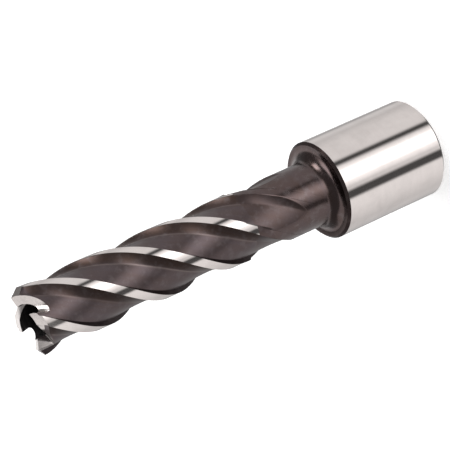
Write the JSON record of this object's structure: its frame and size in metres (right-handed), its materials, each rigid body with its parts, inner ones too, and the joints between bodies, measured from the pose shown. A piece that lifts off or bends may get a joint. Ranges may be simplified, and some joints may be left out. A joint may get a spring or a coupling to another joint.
{
  "type": "annular cutter",
  "caption": "Annular hole cutter in high-speed steel: flatted drive shank, slim neck, helical fluted wall with ground margins, roof-shaped teeth and a bore that runs right through.",
  "frame": {"origin": "centre of the shank's flat back face, on which the cutter stands", "axes": "+Z along the tool's axis from the shank to the teeth; the two drive flats face +X+Y and -X+Y, and -Y is the side seen in the picture"},
  "size_m": [0.019, 0.019, 0.0869],
  "materials": {
    "ground_steel": "fine ground on the shank, the margins and the teeth, darker as milled in the flutes and on the neck"
  },
  "bodies": {
    "root": {"cutter_body": "ground_steel"}
  },
  "joints": []
}
